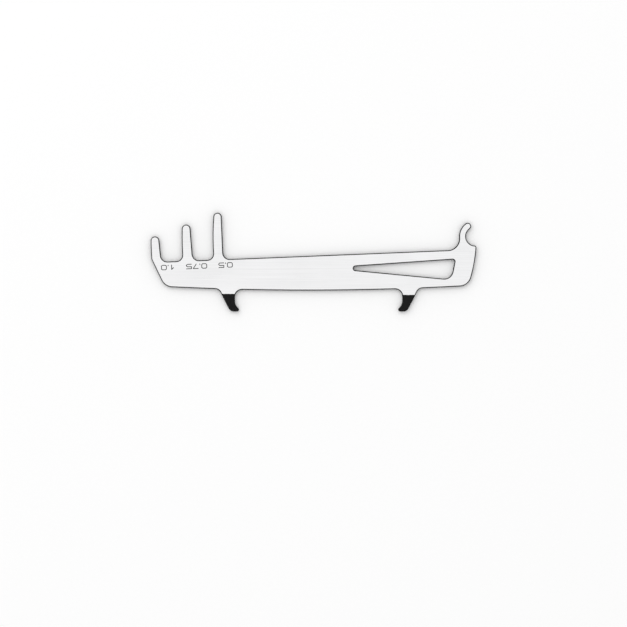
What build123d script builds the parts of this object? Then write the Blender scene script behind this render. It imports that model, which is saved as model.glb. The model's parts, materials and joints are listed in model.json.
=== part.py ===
from build123d import *
from math import atan2, cos, degrees, radians, sin, sqrt, tan
import os

os.makedirs("parts", exist_ok=True)

# Flat chain wear gauge, in millimetres. It lies on one face at Z 0. The origin is the centre of
# the roller seat in the datum hook. The teeth stand up towards +Y at the far -X end, and the two
# chain hooks point towards -Y.

# Chain that the gauge measures
chain_pitch = 12.7
roller_diameter = 7.75

# Plate
thickness = 2.0
edge_break = 0.4

# Roller seats, one in the datum hook and one in each chain hook
seat_radius = 3.9

# Datum hook
finger_width = 2.92
finger_tip_angle = 126.6
finger_root_radius = 4.9
shoulder_reach = 0.55
shoulder_corner = 0.8

# Top edge, a straight line that climbs towards the datum hook
top_edge_drop = 5.37
top_edge_tilt = 2.32

# Teeth. Wear is in percent of the chain's length, and flare is from the vertical.
first_tooth_pitches = 9
tall_wear = 0.5
middle_wear = 0.75
short_wear = 1.0
tall_height = 10.0
tip_step = 5.0
tall_tip_radius = 1.74
middle_tip_radius = 1.83
short_tip_radius = 1.83
tall_back_flare = 2.4
middle_back_flare = 4.6
short_back_flare = 6.0
face_root_radius = 2.6
back_root_radius = 2.75

# Slanted edge below the shortest tooth
nose_drop = 9.7
nose_radius = 2.45
heel_run = 5.58
heel_radius = 5.2

# Bottom edge, one shallow arc
spine_depth = 22.87
spine_low_x = 70.65
spine_radius = 1188.0

# Edge at the datum end
end_foot_inset = 2.89
end_radius = 61.4
end_corner = 5.15

# Long window, a triangle with rounded corners
window_tip_x = 60.68
window_tip_rim = 5.52
window_tip_radius = 0.83
window_top_gap = 8.52
window_top_rim = 4.0
window_top_corner = 0.88
window_foot_gap = 10.21
window_foot_rim = 3.16
window_foot_corner = 3.66

# Chain hooks, a mirrored pair that holds two rollers a few pitches apart. The slack is how much
# closer than that their seats stand.
hooks_mid_x = 66.22
hooks_span_pitches = 5
hooks_slack = 0.52
hook_seat_drop = 4.41
hook_neck_width = 4.24
hook_outer_lean = 27.2
hook_toe_drop = 4.47
hook_toe_radius = 0.83
hook_foot_radius = 2.4
hook_outer_root_radius = 2.6
hook_inner_root_radius = 3.1

# Wear numbers engraved beside the teeth, read with the gauge turned upside down. Each shift is
# from the foot of a tooth's back to the middle of its number.
mark_height = 1.9
mark_width = 2.1
mark_one_width = 1.48
mark_corner = 0.38
mark_flag = 0.8
mark_waist = 1.05
mark_stroke = 0.32
mark_depth = 0.05
mark_rim = 1.52
mark_gap = 0.76
short_mark_shift = 2.5
middle_mark_shift = 1.49
tall_mark_shift = 0.91

top_slope = tan(radians(top_edge_tilt))


def polar(radius, angle):
    return Vector(radius * cos(radians(angle)), radius * sin(radians(angle)))


def on_top_edge(x):
    return Vector(x, x * top_slope - top_edge_drop)


def on_spine(x):
    rise = spine_radius - sqrt(spine_radius**2 - (x + spine_low_x) ** 2)
    return Vector(x, rise - spine_depth)


def on_circle(radius, y):
    return Vector(-sqrt(radius**2 - y**2), y)


def circle_meets_top_edge(radius):
    square = 1 + top_slope**2
    shift = top_slope * top_edge_drop
    root = sqrt(shift**2 - square * (top_edge_drop**2 - radius**2))
    return on_top_edge((shift - root) / square)


def contact_radius(pitches, wear):
    return pitches * chain_pitch * (1 + wear / 100) - roller_diameter + seat_radius


def draw_tooth(foot, contact, height, tip_radius, flare):
    # The tip circle touches the contact arc from inside, and the straight back leaves it.
    tip = on_circle(contact - tip_radius, height - tip_radius)
    face_top = tip * (contact / (contact - tip_radius))
    back_top = tip + polar(tip_radius, flare)
    back_slope = tan(radians(flare))
    drop = back_top.Y - on_top_edge(back_top.X).Y
    back_foot = on_top_edge(back_top.X + drop * back_slope / (1 + back_slope * top_slope))
    ThreePointArc(foot, on_circle(contact, (foot.Y + face_top.Y) / 2), face_top)
    ThreePointArc(face_top, (tip.X, height), back_top)
    Line(back_top, back_foot)
    return back_foot


def corner(sketch, point):
    return sketch.vertices().sort_by_distance(point)[0]


def draw_mark(glyphs, x):
    # The glyphs run along the top edge, half of their length to either side of x.
    length = sum(width for width, points in glyphs) + mark_gap * (len(glyphs) - 1)
    base = on_top_edge(x) - Vector(0, mark_rim)
    with Locations(Location(base, (0, 0, 180 + top_edge_tilt))):
        start = Vector(-length / 2, 0)
        for width, points in glyphs:
            for point, following in zip(points, points[1:]):
                span = Vector(following) - Vector(point)
                middle = Vector(point) + span / 2
                angle = degrees(atan2(span.Y, span.X))
                with Locations(Location(start + middle, (0, 0, angle))):
                    SlotCenterToCenter(span.length, mark_stroke)
            start += Vector(width + mark_gap, 0)


# The working face of each tooth is an arc about the datum seat.
tall_contact = contact_radius(first_tooth_pitches, tall_wear)
middle_contact = contact_radius(first_tooth_pitches + 1, middle_wear)
short_contact = contact_radius(first_tooth_pitches + 2, short_wear)
tall_foot = circle_meets_top_edge(tall_contact)
middle_foot = circle_meets_top_edge(middle_contact)
middle_height = tall_height - tip_step
short_height = middle_height - tip_step

# Corners of the body
nose = on_circle(short_contact, -nose_drop)
heel = on_spine(nose.X + heel_run)
end_foot = on_spine(-end_foot_inset)
shoulder = Vector(shoulder_reach, -sqrt(seat_radius**2 - shoulder_reach**2))

# Datum finger
finger_back_radius = seat_radius + finger_width
finger_root = circle_meets_top_edge(finger_back_radius)
finger_back = polar(finger_back_radius, finger_tip_angle)
finger_front = polar(seat_radius, finger_tip_angle)
finger_end = (finger_back + finger_front) / 2 + polar(finger_width / 2, finger_tip_angle - 90)

# Chain hook at the -X side, about the line midway between the two hooks
seat = Vector((hooks_slack - hooks_span_pitches * chain_pitch) / 2, -spine_depth - hook_seat_drop)
wall = seat - Vector(seat_radius, 0)
lean_slope = tan(radians(hook_outer_lean))
neck = wall - Vector(hook_neck_width, 0)
hook_foot = neck + Vector(hook_toe_drop * lean_slope, -hook_toe_drop)
hook_top = neck + Vector(-2 * hook_seat_drop * lean_slope, 2 * hook_seat_drop)
toe_reach = seat_radius + hook_toe_radius
toe = seat + on_circle(toe_reach, hook_toe_radius - hook_toe_drop)
toe_under = toe - Vector(0, hook_toe_radius)
toe_inside = seat + (toe - seat) * (seat_radius / toe_reach)
outer_root_x = neck.X - hook_seat_drop * lean_slope
inner_root_x = wall.X

# Window corners before rounding
window_tip = on_top_edge(-window_tip_x) - Vector(0, window_tip_rim)
window_top = on_top_edge(-window_top_gap) - Vector(0, window_top_rim)
window_foot = on_spine(-window_foot_gap) + Vector(0, window_foot_rim)

# Width of each glyph and the points of its stroke, from its lower left
low_side = mark_width - mark_corner
high_side = mark_height - mark_corner
zero_points = [
    (mark_corner, 0),
    (low_side, 0),
    (mark_width, mark_corner),
    (mark_width, high_side),
    (low_side, mark_height),
    (mark_corner, mark_height),
    (0, high_side),
    (0, mark_corner),
    (mark_corner, 0),
]
five_points = [
    (mark_width, mark_height),
    (0, mark_height),
    (0, mark_waist),
    (low_side, mark_waist),
    (mark_width, mark_waist - mark_corner),
    (mark_width, mark_corner),
    (low_side, 0),
    (0, 0),
]
zero = (mark_width, zero_points)
one = (mark_one_width, [(0, mark_height - mark_flag), (mark_flag, mark_height), (mark_flag, 0)])
five = (mark_width, five_points)
seven = (mark_width, [(0, mark_height), (mark_width, mark_height), (mark_flag, 0)])
dot = (0, [(0, 0), (0, mark_stroke)])

with BuildSketch(Plane.XY) as hooks:
    with BuildLine():
        Line(hook_foot, toe_under)
        ThreePointArc(toe_under, toe + Vector(hook_toe_radius, 0), toe_inside)
        TangentArc(wall, toe_inside, tangent=(0, -1))
        Polyline(wall, (wall.X, hook_top.Y), hook_top, hook_foot)
    make_face()
    fillet(corner(hooks, hook_foot), radius=hook_foot_radius)
    mirror(about=Plane.YZ)

with BuildSketch(Plane.XY) as window:
    with BuildLine():
        Polyline(window_tip, window_top, window_foot, window_tip)
    make_face()
    fillet(corner(window, window_tip), radius=window_tip_radius)
    fillet(corner(window, window_top), radius=window_top_corner)
    fillet(corner(window, window_foot), radius=window_foot_corner)

with BuildPart() as gauge_plate:
    with BuildSketch(Plane.XY) as outline:
        with BuildLine():
            Line(heel, nose)
            short_back = draw_tooth(nose, short_contact, short_height, short_tip_radius, short_back_flare)
            Line(short_back, middle_foot)
            middle_back = draw_tooth(
                middle_foot, middle_contact, middle_height, middle_tip_radius, middle_back_flare
            )
            Line(middle_back, tall_foot)
            tall_back = draw_tooth(tall_foot, tall_contact, tall_height, tall_tip_radius, tall_back_flare)
            Line(tall_back, finger_root)
            ThreePointArc(finger_root, (-finger_back_radius, 0), finger_back)
            ThreePointArc(finger_back, finger_end, finger_front)
            ThreePointArc(finger_front, (-seat_radius, 0), shoulder)
            RadiusArc(shoulder, end_foot, end_radius)
            RadiusArc(end_foot, heel, spine_radius)
        make_face()
        with Locations((-hooks_mid_x, 0)):
            add(hooks.sketch)
        for face_root in (middle_foot, tall_foot):
            fillet(corner(outline, face_root), radius=face_root_radius)
        for back_root in (short_back, middle_back, tall_back):
            fillet(corner(outline, back_root), radius=back_root_radius)
        fillet(corner(outline, nose), radius=nose_radius)
        fillet(corner(outline, heel), radius=heel_radius)
        fillet(corner(outline, finger_root), radius=finger_root_radius)
        fillet(corner(outline, shoulder), radius=shoulder_corner)
        fillet(corner(outline, end_foot), radius=end_corner)
        for side in (-1, 1):
            outer_root = on_spine(side * outer_root_x - hooks_mid_x)
            inner_root = on_spine(side * inner_root_x - hooks_mid_x)
            fillet(corner(outline, outer_root), radius=hook_outer_root_radius)
            fillet(corner(outline, inner_root), radius=hook_inner_root_radius)
        add(window.sketch, mode=Mode.SUBTRACT)
    extrude(amount=thickness)
    chamfer(gauge_plate.faces().filter_by(Axis.Z).edges(), length=edge_break)
    with BuildSketch(Plane.XY.offset(thickness)) as marks:
        draw_mark((one, dot, zero), short_back.X + short_mark_shift)
        draw_mark((zero, dot, seven, five), middle_back.X + middle_mark_shift)
        draw_mark((zero, dot, five), tall_back.X + tall_mark_shift)
    extrude(amount=-mark_depth, mode=Mode.SUBTRACT)

gauge_plate.part.label = "gauge_plate"
export_step(gauge_plate.part, "parts/gauge_plate.step")
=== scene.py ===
import json
from math import cos, pi, radians, sin

import bpy
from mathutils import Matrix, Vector


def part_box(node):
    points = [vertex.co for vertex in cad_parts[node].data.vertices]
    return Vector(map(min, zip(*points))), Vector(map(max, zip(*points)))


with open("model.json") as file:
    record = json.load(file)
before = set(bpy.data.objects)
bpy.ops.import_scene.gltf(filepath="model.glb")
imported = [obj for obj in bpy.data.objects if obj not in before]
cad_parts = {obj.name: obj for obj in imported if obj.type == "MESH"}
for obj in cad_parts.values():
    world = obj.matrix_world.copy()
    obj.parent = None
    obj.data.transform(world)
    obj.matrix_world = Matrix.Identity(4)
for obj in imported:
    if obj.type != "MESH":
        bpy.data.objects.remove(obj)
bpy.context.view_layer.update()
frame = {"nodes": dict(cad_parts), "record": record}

# The finish of a flat chain wear gauge, and the light and camera that show it. The gauge is of
# bright ground steel. Its cut edges, its engraved numbers and the ends of its two chain hooks
# are black. Objects are in metres in the frame of the solid, and materials work in millimetres.

MM = 0.001
plate = frame["nodes"]["gauge_plate"]
plate_low, plate_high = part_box("gauge_plate")
thickness_mm = (plate_high.z - plate_low.z) / MM

# The datum seat's wall runs between the edge breaks of the two faces.
mounts = {mount["name"]: mount for mount in frame["record"]["mounts"]}
datum_seat = mounts["datum_roller_seat"]["dims"]
seat_radius_mm = datum_seat["r_mm"]
edge_break_mm = (thickness_mm - datum_seat["length_mm"]) / 2

# Camera, straight above the plate with +Y up in the image. The seat's pixel is where the centre
# of the datum seat, which is the origin, lies in the image.
IMAGE_PIXELS = 627
PIXELS_PER_MM = 2.366
SEAT_PIXEL_X = 475.28
SEAT_PIXEL_Y = 236.40
LENS_MM = 200
SENSOR_MM = 36

# Light, as shares of the level at which a white floor renders white. Angles are in degrees.
WORLD_SHARE = 0.84
KEY_SHARE = 0.2
KEY_SIZE = 2.4
KEY_DISTANCE = 2.5
KEY_HEADING = 125
KEY_ELEVATION = 50

# What the steel reflects: a dome that is pale grey at the horizon and white overhead. The rise
# is the height at which it turns white, on a dome of radius 1.
DOME_TOP = 1.0
DOME_HORIZON = 0.6
DOME_RISE = 0.9

# Layers of noise. A layer's cycles are per millimetre along X, Y and Z, its detail is how many
# finer octaves it adds, and its shift keeps its pattern apart from the others'. Nearly all of
# its values lie in the noise range.
NOISE_RANGE = (0.3, 0.7)
FIBRES = {"cycles": (0.8, 0.8, 0.8), "detail": 3.0}
GRAIN = {"cycles": (0.05, 9.0, 1.0), "detail": 4.0}
BANDS = {"cycles": (0.015, 1.5, 1.0), "detail": 3.0, "shift": 40}
CLOUDS = {"cycles": (0.05, 0.08, 1.0), "shift": 20}
SCRATCHES = {"cycles": (0.14, 8.0, 1.0), "detail": 0.0}
BLOOM = {"cycles": (1.4, 1.4, 1.4), "detail": 4.0}
CUT_LINES = {"cycles": (7.0, 7.0, 0.35)}
WAVER = {"cycles": (0.9, 0.9, 0.9), "shift": 5}
PATCHES = {"cycles": (0.3, 0.3, 0.6), "detail": 4.0, "shift": 9}

# Floor, of paper with a faint unevenness. It is seen as nearly white, and lights the plate less
# than that.
FLOOR_SIZE = 6.0
FLOOR_SEEN = 0.995
FLOOR_LIT = 0.8
FIBRE_TONE = 0.004

# Ground steel: fine grain and wider bands along the plate, broad clouds, and handling scratches
# at a few angles from its length. A layer's tone is how far it lifts or lowers the steel's.
STEEL_TONE = 0.885
STEEL_BLUE = 0.006
STEEL_ROUGHNESS = 0.33
GRAIN_TONE = 0.03
GRAIN_ROUGHNESS = 0.04
BAND_TONE = 0.03
CLOUD_TONE = 0.02
CLOUD_ROUGHNESS = 0.03
SCRATCH_ANGLES = (14, -27, 63)
SCRATCH_FADE = (0.79, 0.83)
SCRATCH_TONE = -0.06

# Black finish: a faint bloom over the lines that cutting leaves through the thickness
BLACK_TONES = (0.002, 0.011)
BLACK_FADE = (0.15, 0.4)
BLACK_ROUGHNESS = 0.5
BLACK_SPECULAR = 0.12
BLOOM_ROUGHNESS = 0.08

# Relief of the steel's grain, and of the cut lines in the black
RELIEF_MM = 0.004

# A face of the plate is told from its edges by how level it is, and an engraved number by
# its depth under the face.
LEVEL_NORMAL = 0.95
NUMBER_DEPTH_MM = 0.05
DEPTH_SLACK_MM = 0.02

# The black ends of the hooks start at a line that falls slightly towards the datum end.
BLACK_LINE_FAR = (-103.0, -24.3)
BLACK_LINE_NEAR = (-30.0, -24.7)
WAVER_MM = 0.05

# Wear through the black, down to steel. The ridges of the edge break rub a little. The faces
# that bear on the chain's rollers rub more: the datum seat, and the teeth's faces, which are
# arcs about its centre. They rub most at the middle of the thickness and on a line along the
# plate, and less in the lines left by cutting. Each tooth stands for a number of the chain's
# pitches and a share of the chain's own wear. A fade is the limits of a change, in noise or in
# millimetres, and where a wear follows it, that is the bare share at each limit.
WORN_TONE = 0.4
WORN_ROUGHNESS = 0.3
RIDGE_WIDTH_MM = 0.05
RIDGE_FADE = (0.4, 0.75)
RIDGE_WEAR = (0.0, 0.4)
CHAIN_PITCH_MM = 12.7
ROLLER_DIAMETER_MM = 7.75
TEETH = ((9, 0.005), (10, 0.0075), (11, 0.01))
BEARING_FADE_R_MM = (0.02, 0.8)
BEARING_LINE_Y_MM = -1.0
BEARING_FADE_Y_MM = (1.2, 3.8)
BEARING_FADE_Z_MM = (0.25, 0.58)
BEARING_FADE = (0.3, 0.6)
BEARING_WEAR = (0.4, 0.9)
CUT_LINE_FADE = (0.35, 0.6)
CUT_LINE_WEAR = (0.45, 1.0)


class Graph:
    """Adds nodes to a node tree. An input is a plain value or another node's output."""

    # A Mix node's two inputs and its output, by number, for each kind of value that it mixes
    MIX_SOCKETS = {"FLOAT": (2, 3, 0), "RGBA": (6, 7, 2)}

    def __init__(self, tree):
        self.tree = tree
        tree.nodes.clear()

    def add(self, kind, inputs=None, output=0, **settings):
        made = self.tree.nodes.new("ShaderNode" + kind)
        for name, value in settings.items():
            setattr(made, name, value)
        for name, value in (inputs or {}).items():
            if isinstance(value, bpy.types.NodeSocket):
                self.tree.links.new(value, made.inputs[name])
            else:
                made.inputs[name].default_value = value
        return made.outputs[output] if made.outputs else None

    def math(self, operation, *values):
        return self.add("Math", dict(enumerate(values)), operation=operation)

    def gather(self, operation, first, *others):
        """Joins the first two values by an operation, then each next value to the result."""
        for other in others:
            first = self.math(operation, first, other)
        return first

    def product(self, *values):
        return self.gather("MULTIPLY", *values)

    def total(self, *values):
        return self.gather("ADD", *values)

    def largest(self, *values):
        return self.gather("MAXIMUM", *values)

    def smallest(self, *values):
        return self.gather("MINIMUM", *values)

    def distance(self, value, target):
        return self.math("ABSOLUTE", self.math("SUBTRACT", value, target))

    def outside(self, mask):
        return self.math("SUBTRACT", 1.0, mask)

    def near(self, value, target, slack):
        """1 where value is within slack of target, and 0 elsewhere."""
        return self.math("COMPARE", value, target, slack)

    def fade(self, value, limits, results=(0.0, 1.0), course="LINEAR"):
        """Runs from the first result to the second as value runs between the limits."""
        steps = dict(enumerate((value, *limits, *results)))
        return self.add("MapRange", steps, clamp=True, interpolation_type=course)

    def fade_out(self, value, limits):
        """Eases from 1 to 0 as value runs between the limits."""
        return self.fade(value, limits, (1.0, 0.0), "SMOOTHSTEP")

    def sway(self, noise, reach):
        """Runs from -reach to reach over the noise's range."""
        return self.fade(noise, NOISE_RANGE, (-reach, reach))

    def mix(self, kind, mask, off, on):
        first, second, output = self.MIX_SOCKETS[kind]
        inputs = {"Factor": mask, first: off, second: on}
        return self.add("Mix", inputs, output, data_type=kind)

    def blend(self, mask, off, on):
        """The number off where mask is 0, and on where it is 1."""
        return self.mix("FLOAT", mask, off, on)

    def tint(self, mask, off, on):
        """The colour off where mask is 0, and on where it is 1."""
        return self.mix("RGBA", mask, off, on)

    def grey(self, level, extra_blue=0.0):
        blue = self.total(level, extra_blue)
        return self.add("CombineColor", {"Red": level, "Green": level, "Blue": blue})

    def noise(self, place, cycles, detail=2.0, shift=0.0):
        """A layer of noise from 0 to 1."""
        scaled = self.add("Mapping", {"Vector": place, "Location": [shift] * 3, "Scale": cycles})
        return self.add("TexNoise", {"Vector": scaled, "Scale": 1.0, "Detail": detail})

    def turned(self, place, angle):
        """The place turned about the upright axis, by an angle in degrees."""
        inputs = {"Vector": place, "Angle": radians(angle)}
        return self.add("VectorRotate", inputs, rotation_type="Z_AXIS")

    def place_mm(self):
        """The shaded point in the object's own frame, in millimetres."""
        place = self.add("TexCoord", output="Object")
        return self.add("VectorMath", {0: place, "Scale": 1 / MM}, operation="SCALE")

    def parts(self, vector):
        """The vector's X, Y and Z."""
        return self.add("SeparateXYZ", {0: vector}).node.outputs[:]


def new_material(name):
    material = bpy.data.materials.new(name)
    material.use_nodes = True
    return material, Graph(material.node_tree)


def ground_mask(graph, place):
    """1 on the bright ground faces, and 0 on edges, in the numbers and on the hooks' ends."""
    x, y, z = graph.parts(place)
    level = graph.parts(graph.add("NewGeometry", output="True Normal"))[2]
    on_face = graph.math("GREATER_THAN", graph.math("ABSOLUTE", level), LEVEL_NORMAL)
    in_number = graph.near(z, thickness_mm - NUMBER_DEPTH_MM, DEPTH_SLACK_MM)
    (far_x, far_y), (near_x, near_y) = BLACK_LINE_FAR, BLACK_LINE_NEAR
    slope = (near_y - far_y) / (near_x - far_x)
    line = graph.math("MULTIPLY_ADD", x, slope, far_y - slope * far_x)
    waver = graph.sway(graph.noise(place, **WAVER), WAVER_MM)
    on_hook_end = graph.math("LESS_THAN", y, graph.total(line, waver))
    return graph.product(on_face, graph.outside(in_number), graph.outside(on_hook_end))


def tooth_reach(pitches, wear):
    """How far a tooth's working face lies from the centre of the datum seat."""
    return pitches * CHAIN_PITCH_MM * (1 + wear) - ROLLER_DIAMETER_MM + seat_radius_mm


def wear_mask(graph, place, cut_lines):
    """From 0, all black, to 1, rubbed through to steel, in patches on the edges."""
    x, y, z = graph.parts(place)
    patches = graph.noise(place, **PATCHES)
    on_ridge = graph.largest(
        graph.near(z, edge_break_mm, RIDGE_WIDTH_MM / 2),
        graph.near(z, thickness_mm - edge_break_mm, RIDGE_WIDTH_MM / 2),
    )
    ridge_wear = graph.product(on_ridge, graph.fade(patches, RIDGE_FADE, RIDGE_WEAR))

    level_place = graph.add("CombineXYZ", {"X": x, "Y": y})
    radius = graph.add("VectorMath", {0: level_place}, output="Value", operation="LENGTH")
    reaches = [seat_radius_mm] + [tooth_reach(pitches, wear) for pitches, wear in TEETH]
    off_arc = graph.smallest(*[graph.distance(radius, reach) for reach in reaches])
    bearing_wear = graph.product(
        graph.fade_out(off_arc, BEARING_FADE_R_MM),
        graph.fade_out(graph.distance(y, BEARING_LINE_Y_MM), BEARING_FADE_Y_MM),
        graph.fade_out(graph.distance(z, thickness_mm / 2), BEARING_FADE_Z_MM),
        graph.fade(patches, BEARING_FADE, BEARING_WEAR),
        graph.fade(cut_lines, CUT_LINE_FADE, CUT_LINE_WEAR),
    )
    return graph.largest(ridge_wear, bearing_wear)


def steel_finish(graph, place):
    """The tone, roughness and relief of the ground steel."""
    grain = graph.noise(place, **GRAIN)
    clouds = graph.noise(place, **CLOUDS)
    scratches = 0.0
    for angle in SCRATCH_ANGLES:
        lines = graph.noise(graph.turned(place, angle), **SCRATCHES, shift=angle)
        scratches = graph.largest(scratches, graph.fade(lines, SCRATCH_FADE))
    tone = graph.total(
        STEEL_TONE,
        graph.sway(grain, GRAIN_TONE),
        graph.sway(graph.noise(place, **BANDS), BAND_TONE),
        graph.sway(clouds, CLOUD_TONE),
        graph.product(scratches, SCRATCH_TONE),
    )
    roughness = graph.total(
        STEEL_ROUGHNESS, graph.sway(grain, GRAIN_ROUGHNESS), graph.sway(clouds, CLOUD_ROUGHNESS)
    )
    return tone, roughness, grain


def black_finish(graph, place):
    """The tone, roughness, bare share and relief of the black, and of the steel that it bares."""
    bloom = graph.noise(place, **BLOOM)
    cut_lines = graph.noise(place, **CUT_LINES)
    worn = wear_mask(graph, place, cut_lines)
    tone = graph.fade(graph.product(bloom, cut_lines), BLACK_FADE, BLACK_TONES)
    roughness = graph.total(BLACK_ROUGHNESS, graph.sway(bloom, BLOOM_ROUGHNESS))
    worn_tone = graph.blend(worn, tone, WORN_TONE)
    worn_roughness = graph.blend(worn, roughness, WORN_ROUGHNESS)
    return worn_tone, worn_roughness, worn, cut_lines


def make_plate_material():
    material, graph = new_material("gauge_plate_steel")
    place = graph.place_mm()
    ground = ground_mask(graph, place)
    steel_tone, steel_roughness, steel_relief = steel_finish(graph, place)
    black_tone, black_roughness, worn, black_relief = black_finish(graph, place)
    steel_colour = graph.grey(steel_tone, STEEL_BLUE)
    relief = graph.blend(ground, black_relief, steel_relief)
    finish = {
        "Base Color": graph.tint(ground, graph.grey(black_tone), steel_colour),
        "Metallic": graph.largest(ground, worn),
        "Roughness": graph.blend(ground, black_roughness, steel_roughness),
        "Specular IOR Level": BLACK_SPECULAR,
        "Normal": graph.add("Bump", {"Distance": RELIEF_MM * MM, "Height": relief}),
    }
    graph.add("OutputMaterial", {"Surface": graph.add("BsdfPrincipled", finish)})
    return material


def seen_directly(graph):
    """1 for rays that show the surroundings, and 0 for rays that only carry their light."""
    rays = graph.add("LightPath").node.outputs
    names = ("Is Camera Ray", "Is Glossy Ray", "Is Transmission Ray")
    return graph.largest(*[rays[name] for name in names])


def make_floor():
    bpy.ops.mesh.primitive_plane_add(size=FLOOR_SIZE, location=(0, 0, plate_low.z))
    floor = bpy.context.object
    floor.name = "floor"
    material, graph = new_material("floor_paper")
    fibres = graph.noise(graph.place_mm(), **FIBRES)
    seen = graph.total(FLOOR_SEEN, graph.sway(fibres, FIBRE_TONE))
    level = graph.blend(seen_directly(graph), FLOOR_LIT, seen)
    shader = graph.add("BsdfDiffuse", {"Color": graph.grey(level)})
    graph.add("OutputMaterial", {"Surface": shader})
    floor.data.materials.append(material)


def make_world():
    world = bpy.data.worlds.new("studio")
    world.use_nodes = True
    graph = Graph(world.node_tree)
    height = graph.parts(graph.add("TexCoord", output="Generated"))[2]
    dome = graph.fade(height, (0.0, DOME_RISE), (DOME_HORIZON, DOME_TOP))
    strength = graph.blend(seen_directly(graph), WORLD_SHARE, dome)
    shader = graph.add("Background", {"Color": (1, 1, 1, 1), "Strength": strength})
    graph.add("OutputWorld", {"Surface": shader})
    bpy.context.scene.world = world


def make_key_light():
    heading, elevation = radians(KEY_HEADING), radians(KEY_ELEVATION)
    level = cos(elevation)
    towards = Vector((cos(heading) * level, sin(heading) * level, sin(elevation)))
    data = bpy.data.lights.new("key", "AREA")
    data.size = KEY_SIZE
    # The power whose light, at this distance and slant, gives a white floor the key's share
    data.energy = KEY_SHARE * pi**2 * KEY_DISTANCE**2 / sin(elevation)
    key = bpy.data.objects.new("key", data)
    key.location = (plate_low + plate_high) / 2 + towards * KEY_DISTANCE
    key.rotation_euler = towards.to_track_quat("Z", "Y").to_euler()
    key.visible_camera = False
    key.visible_glossy = False
    bpy.context.scene.collection.objects.link(key)


def make_camera():
    data = bpy.data.cameras.new("camera")
    data.lens = LENS_MM
    data.sensor_width = SENSOR_MM
    camera = bpy.data.objects.new("camera", data)
    # At the upper face, the view is as wide as the image.
    seen_width = IMAGE_PIXELS / PIXELS_PER_MM * MM
    camera.location = (
        (IMAGE_PIXELS / 2 - SEAT_PIXEL_X) / PIXELS_PER_MM * MM,
        (SEAT_PIXEL_Y - IMAGE_PIXELS / 2) / PIXELS_PER_MM * MM,
        plate_high.z + seen_width * LENS_MM / SENSOR_MM,
    )
    bpy.context.scene.collection.objects.link(camera)
    bpy.context.scene.camera = camera


plate_material = make_plate_material()
for slot in plate.material_slots:
    slot.material = plate_material
make_floor()
make_world()
make_key_light()
make_camera()
bpy.context.scene.view_settings.view_transform = "Standard"
